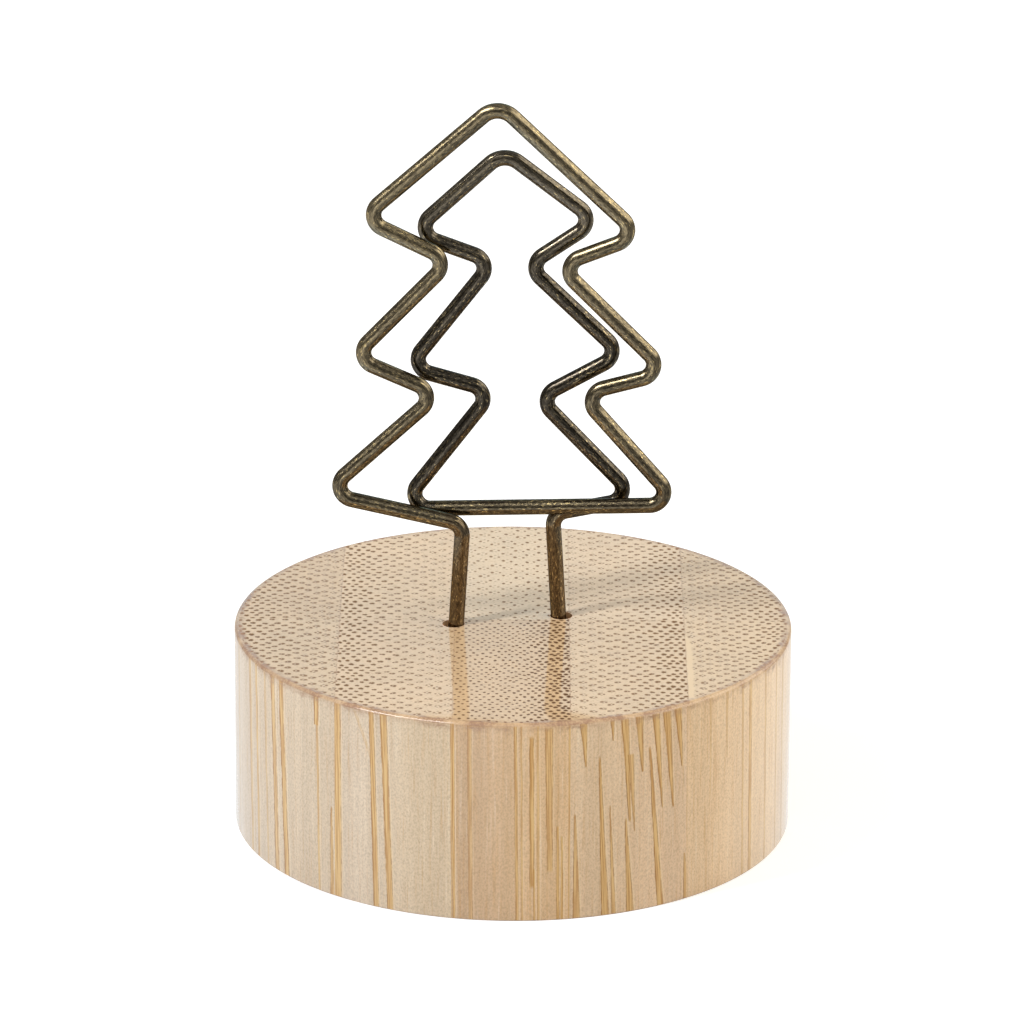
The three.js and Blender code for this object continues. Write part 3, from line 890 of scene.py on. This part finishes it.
def glueMaterial():
    material, s, shader = newMaterial("amber_glue")
    cloud = s.noise(inMillimetres(s), glueSet["cloudScale"], 3.0).outputs["Fac"]
    s.feed(shader.inputs["Base Color"], s.mix(s.ramp(cloud, 0.3, 0.7), glueSet["deep"], glueSet["pale"]))
    s.feed(shader.inputs["Roughness"], s.ramp(cloud, 0.3, 0.7, *glueSet["roughness"]))
    return material


glueLook = glueMaterial()
for name in ("left_glue", "right_glue"):
    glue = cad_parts[name]
    glue.data.materials.clear()
    glue.data.materials.append(glueLook)
print("glue: set")

# floor, light and camera
stageSet = {
    "floorRadius": 2.0, "floorSides": 96, "floorTone": 0.74, "floorRoughness": 0.9, "floorLift": 0.5,
    "worldLight": (0.498, 0.47, 0.408, 1), "lampDistance": 1.0,
    "keyFrom": (-0.62, -0.347, 0.7), "keySize": (0.12, 0.6), "keyPower": 5.8, "keyTint": (0.935, 1.0, 1.13),
    "fillFrom": (0.68, 0.0, 0.73), "fillSize": (1.1, 1.1), "fillPower": 5.4, "fillTint": (1.065, 1.0, 0.865),
    "room": 0.34, "floorOnLeft": 1.05, "floorOnRight": 0.42, "floorBehind": 0.95,
    "leftToRight": (-0.35, 0.3), "frontToBack": (-0.1, 0.3), "horizon": (0.02, -0.26),
    "cards": [                                   # pale cards that mirrors see; reach and soft edge in degrees
        {"at": (-0.388, -0.491, 0.779), "along": (0.91, -0.341, 0.239),
         "reach": (38, 13), "soft": 8, "level": (1.2, 1.2, 1.2)},
        {"at": (-0.46, -0.37, 0.807), "along": (0.74, -0.58, 0.35),
         "reach": (9, 9), "soft": 3, "level": (13, 13, 13)},
        {"at": (-0.655, -0.23, 0.72), "along": (0.74, -0.58, 0.35),
         "reach": (6, 8), "soft": 2.5, "level": (15, 15, 15)},
        {"at": (0.845, 0.12, 0.52), "along": (0, 1, 0),
         "reach": (38, 17), "soft": 8, "level": (2.5, 2.4, 2.2)},
        {"at": (0.08, -0.963, 0.26), "along": (1, 0, 0),
         "reach": (26, 13), "soft": 8, "level": (0.19, 0.19, 0.19)},
        {"at": (-0.27, -0.957, -0.1), "along": (0.7, -0.105, -0.7),
         "reach": (13, 7), "soft": 5, "level": (1.5, 1.5, 1.5)},
        {"at": (0, 0.94, 0.34), "along": (1, 0, 0),
         "reach": (22, 17), "soft": 7, "level": (0.47, 0.74, 0.92)},
    ],
}


def makeFloor():
    bm = bmesh.new()
    sides, radius = stageSet["floorSides"], stageSet["floorRadius"]
    bmesh.ops.create_circle(bm, cap_ends=True, segments=sides, radius=radius)
    mesh = bpy.data.meshes.new("floor_mesh")
    bm.to_mesh(mesh)
    bm.free()
    material, s, shader = newMaterial("pale_floor")
    tone = stageSet["floorTone"]
    shader.inputs["Base Color"].default_value = (tone, tone, tone, 1)
    shader.inputs["Roughness"].default_value = stageSet["floorRoughness"]
    shader.inputs["Specular IOR Level"].default_value = 0.0
    shader.inputs["Emission Color"].default_value = (1, 1, 1, 1)
    seen = s.add("LightPath").outputs["Is Camera Ray"]
    s.feed(shader.inputs["Emission Strength"], s.times(seen, stageSet["floorLift"]))
    mesh.materials.append(material)
    floor = bpy.data.objects.new("floor", mesh)
    scene.collection.objects.link(floor)
    floor.visible_glossy = False                 # mirrors see the room of lightWorld instead


def lightWorld():
    world = bpy.data.worlds.new("studio")
    world.use_nodes = True
    scene.world = world
    s = Sheet(world.node_tree)
    background = world.node_tree.nodes["Background"]
    path = s.add("LightPath").outputs
    towards = s.add("TexCoord").outputs["Generated"]
    across, ahead, height = s.separate(towards)
    tones = [stageSet[key] for key in ("room", "floorOnLeft", "floorOnRight", "floorBehind")]
    room, leftFloor, rightFloor, farFloor = [(tone, tone, tone, 1) for tone in tones]
    front = s.mix(s.ramp(across, *stageSet["leftToRight"]), leftFloor, rightFloor)
    low = s.mix(s.ramp(ahead, *stageSet["frontToBack"]), front, farFloor)
    mirrored = s.mix(s.ramp(height, *stageSet["horizon"]), room, low)
    for card in stageSet["cards"]:
        middle = Vector(card["at"]).normalized()
        over = middle.cross(Vector(card["along"])).normalized()
        cover = s.ramp(s.vector("DOT_PRODUCT", towards, tuple(middle)), 0.0, 0.1)
        for axis, reach in zip((over.cross(middle), over), card["reach"]):
            aside = s.math("ABSOLUTE", s.vector("DOT_PRODUCT", towards, tuple(axis)))
            outer = math.sin(math.radians(reach + card["soft"]))
            inner = math.sin(math.radians(reach - card["soft"]))
            cover = s.times(cover, s.ramp(aside, outer, inner))
        mirrored = s.mix(cover, mirrored, (*card["level"], 1))
    seen = s.math("MAXIMUM", path["Is Glossy Ray"], path["Is Transmission Ray"])
    colour = s.mix(seen, stageSet["worldLight"], mirrored)
    s.feed(background.inputs["Color"], s.mix(path["Is Camera Ray"], colour, (1, 1, 1, 1)))


def hangLamp(name):
    lamp = bpy.data.lights.new(name, "AREA")
    lamp.shape = "ELLIPSE"
    lamp.size, lamp.size_y = stageSet[name + "Size"]
    lamp.energy = stageSet[name + "Power"]
    lamp.color = stageSet[name + "Tint"]
    towards = Vector(stageSet[name + "From"]).normalized()
    stand = bpy.data.objects.new(name, lamp)
    scene.collection.objects.link(stand)
    stand.visible_glossy = False
    stand.location = towards * stageSet["lampDistance"]
    stand.rotation_euler = towards.to_track_quat("Z", "Y").to_euler()


cameraSet = {
    "target": (-0.148 * mm, 0, 28.94 * mm), "pitch": math.radians(20.07), "roll": math.radians(0.31),
    "distance": 632.85 * mm, "lens": 249.26, "sensor": 36.0, "clip": (0.05, 20),
}


def placeCamera():
    data = bpy.data.cameras.new("camera")
    data.lens = cameraSet["lens"]
    data.sensor_width = cameraSet["sensor"]
    data.clip_start, data.clip_end = cameraSet["clip"]
    camera = bpy.data.objects.new("camera", data)
    scene.collection.objects.link(camera)
    back = Vector((0, -math.cos(cameraSet["pitch"]), math.sin(cameraSet["pitch"])))
    camera.location = Vector(cameraSet["target"]) + back * cameraSet["distance"]
    camera.rotation_mode = "QUATERNION"
    camera.rotation_quaternion = (-back).to_track_quat("-Z", "Y") @ Quaternion((0, 0, 1), cameraSet["roll"])
    scene.camera = camera


makeFloor()
lightWorld()
hangLamp("key")
hangLamp("fill")
placeCamera()
print("stage: floor, light and camera")
